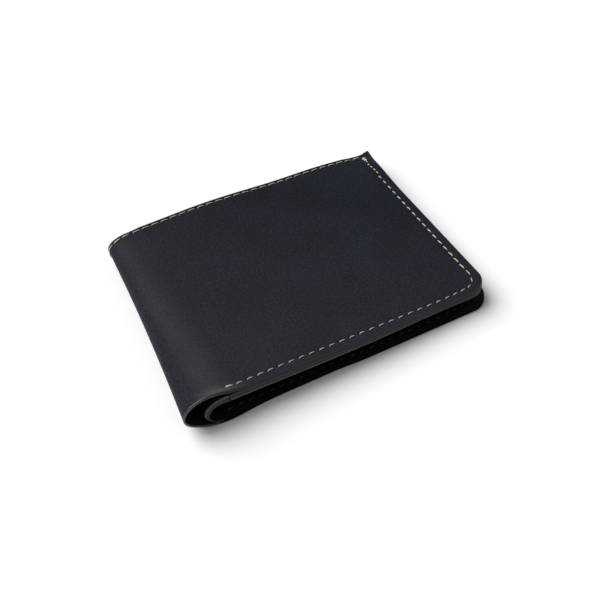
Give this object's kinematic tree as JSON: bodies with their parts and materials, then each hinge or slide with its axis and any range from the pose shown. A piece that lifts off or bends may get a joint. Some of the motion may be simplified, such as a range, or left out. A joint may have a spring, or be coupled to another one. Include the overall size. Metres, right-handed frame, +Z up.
{
  "type": "bifold wallet",
  "caption": "Slim bifold leather wallet, folded shut, with a full-length bill compartment, stepped card pockets in both halves and light contrast stitching round the edges.",
  "frame": {"origin": "middle of the underside of the closed wallet, on the surface that it lies on", "axes": "+X from the fold to the free edge, +Y from the sewn bottom edge to the open mouth of the bill compartment, +Z up through the closed halves"},
  "size_m": [0.1164, 0.093, 0.0135],
  "materials": {
    "shell_leather": "satin, fine smooth grain",
    "inner_leather": "satin",
    "lining": "matt woven",
    "thread": "waxed twisted thread"
  },
  "bodies": {
    "lower_half": {"outer_shell_lower": "shell_leather", "outer_shell_spine": "shell_leather", "shell_lining_lower": "lining", "shell_lining_spine": "lining", "bill_divider_lower": "inner_leather", "bill_divider_spine": "inner_leather", "inner_panel_lower": "inner_leather", "inner_panel_spine": "inner_leather", "pocket_lining_lower": "lining", "card_pocket_rear_lower": "inner_leather", "card_pocket_middle_lower": "inner_leather", "card_pocket_front_lower": "inner_leather", "card_pocket_thread_lower": "thread", "bottom_seam_thread_lower": "thread", "side_seam_thread_lower": "thread", "mouth_hem_thread_lower": "thread", "mouth_hem_thread_spine": "thread", "corner_tack_lower": "thread"},
    "upper_half": {"outer_shell_upper": "shell_leather", "shell_lining_upper": "lining", "bill_divider_upper": "inner_leather", "inner_panel_upper": "inner_leather", "pocket_lining_upper": "lining", "card_pocket_rear_upper": "inner_leather", "card_pocket_middle_upper": "inner_leather", "card_pocket_front_upper": "inner_leather", "card_pocket_thread_upper": "thread", "bottom_seam_thread_upper": "thread", "side_seam_thread_upper": "thread", "mouth_hem_thread_upper": "thread", "corner_tack_upper": "thread"}
  },
  "joints": [
    {"name": "fold_hinge", "type": "hinge", "parent": "lower_half", "child": "upper_half", "pos_m": [-0.0548, 0, 0.0068], "axis": [0, -1, 0], "range_deg": [0, 178], "deforming": ["outer_shell_spine", "shell_lining_spine", "bill_divider_spine", "inner_panel_spine", "mouth_hem_thread_spine"]}
  ]
}
